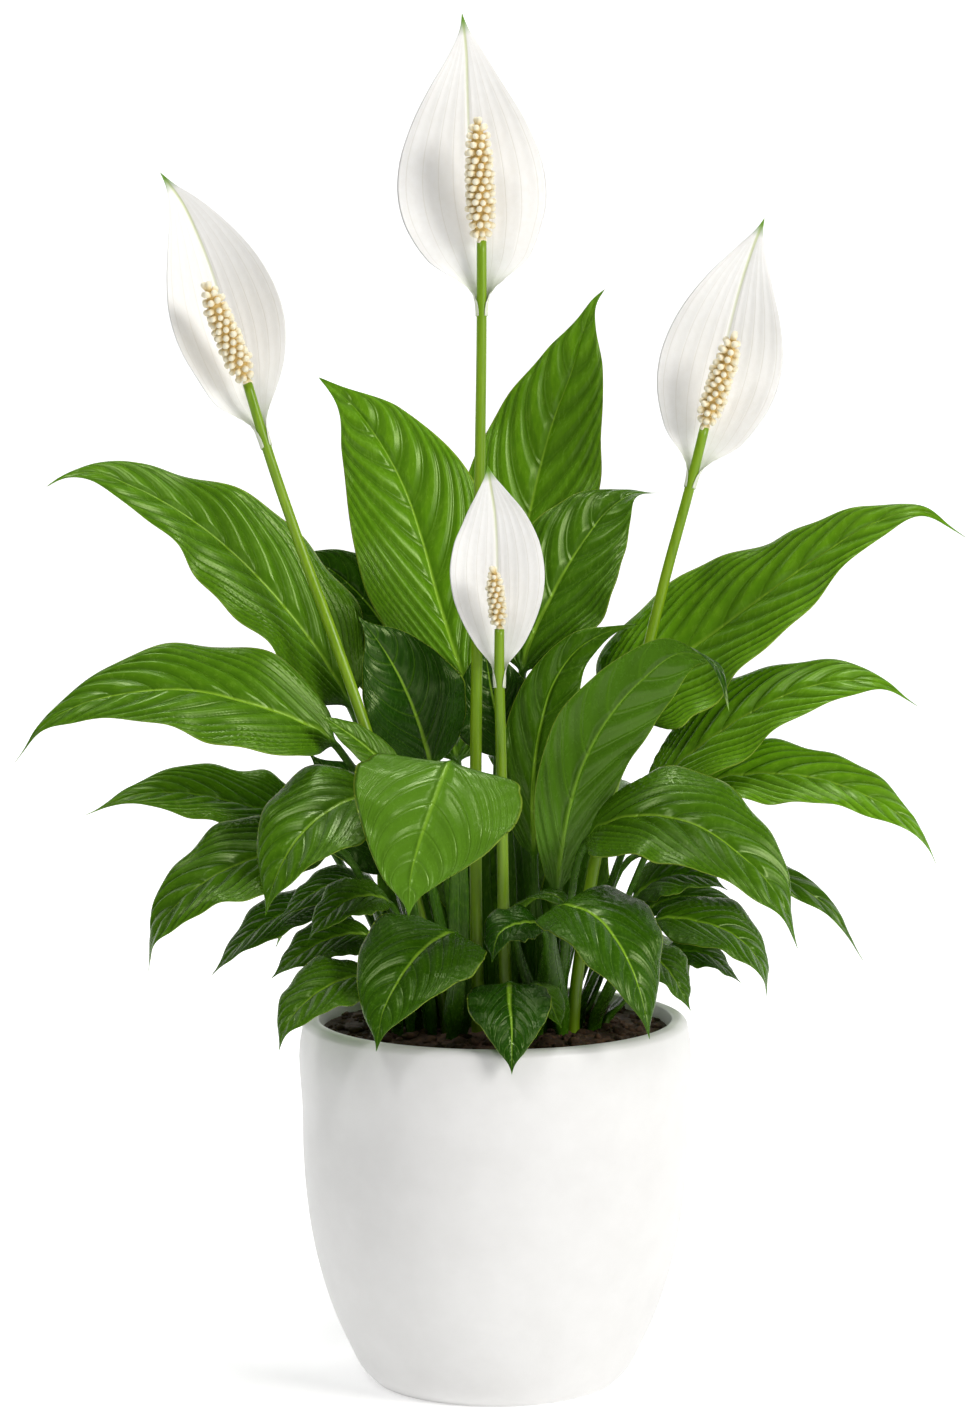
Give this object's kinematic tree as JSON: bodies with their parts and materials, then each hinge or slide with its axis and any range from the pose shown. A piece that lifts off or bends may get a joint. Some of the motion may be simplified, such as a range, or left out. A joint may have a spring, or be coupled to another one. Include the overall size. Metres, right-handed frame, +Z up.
{
  "type": "potted peace lily",
  "caption": "Flowering peace lily with glossy arching leaves and white spathes, growing in a smooth rounded white pot.",
  "frame": {"origin": "centre of the flat underside of the pot", "axes": "+Z up along the pot's axis, +X to the viewer's right, -Y towards the viewer"},
  "size_m": [0.48, 0.2704, 0.704],
  "materials": {
    "pot_glaze": "smooth white satin ceramic",
    "potting_soil": "dark crumbly potting mix",
    "leaf_green": "glossy quilted leaf",
    "scape_green": "smooth bright green flower stalk",
    "spathe_white": "soft white spathe with faint veins",
    "spadix_cream": "cream spadix of small florets"
  },
  "bodies": {
    "root": {"pot": "pot_glaze", "soil": "potting_soil", "leaf_back_left_tall": "leaf_green", "leaf_back_right_tall": "leaf_green", "leaf_right_back": "leaf_green", "leaf_centre_dark": "leaf_green", "leaf_right_inner": "leaf_green", "leaf_left_upper": "leaf_green", "leaf_left_behind": "leaf_green", "leaf_left_arching": "leaf_green", "leaf_left_middle": "leaf_green", "leaf_left_lower": "leaf_green", "leaf_left_front": "leaf_green", "leaf_left_dark": "leaf_green", "leaf_left_sliver": "leaf_green", "leaf_left_shadow": "leaf_green", "leaf_left_small_long": "leaf_green", "leaf_left_small_top": "leaf_green", "leaf_left_small_front": "leaf_green", "leaf_left_small_mid": "leaf_green", "leaf_left_rim": "leaf_green", "leaf_front_left_big": "leaf_green", "leaf_front_left_rim": "leaf_green", "leaf_front_centre": "leaf_green", "leaf_front_centre_small": "leaf_green", "leaf_front_sliver": "leaf_green", "leaf_front_right_curl": "leaf_green", "leaf_front_right_rim": "leaf_green", "leaf_right_front_tall": "leaf_green", "leaf_right_upper": "leaf_green", "leaf_right_arching": "leaf_green", "leaf_right_lower": "leaf_green", "leaf_front_right_big": "leaf_green", "leaf_right_thin": "leaf_green", "leaf_right_small_top": "leaf_green", "leaf_right_small_back": "leaf_green", "leaf_right_small_droop": "leaf_green", "leaf_right_small_low": "leaf_green", "leaf_right_rim": "leaf_green", "leaf_back_low_left": "leaf_green", "leaf_back_left": "leaf_green", "leaf_back_middle_left": "leaf_green", "leaf_back_middle_right": "leaf_green", "leaf_back_right": "leaf_green", "leaf_back_low_middle": "leaf_green", "leaf_back_low_right": "leaf_green", "leaf_back_rim_left": "leaf_green", "leaf_back_rim_right": "leaf_green", "scape_main": "scape_green", "spathe_main": "spathe_white", "spadix_main": "spadix_cream", "scape_left": "scape_green", "spathe_left": "spathe_white", "spadix_left": "spadix_cream", "scape_right": "scape_green", "spathe_right": "spathe_white", "spadix_right": "spadix_cream", "scape_front": "scape_green", "spathe_front": "spathe_white", "spadix_front": "spadix_cream"}
  },
  "joints": []
}
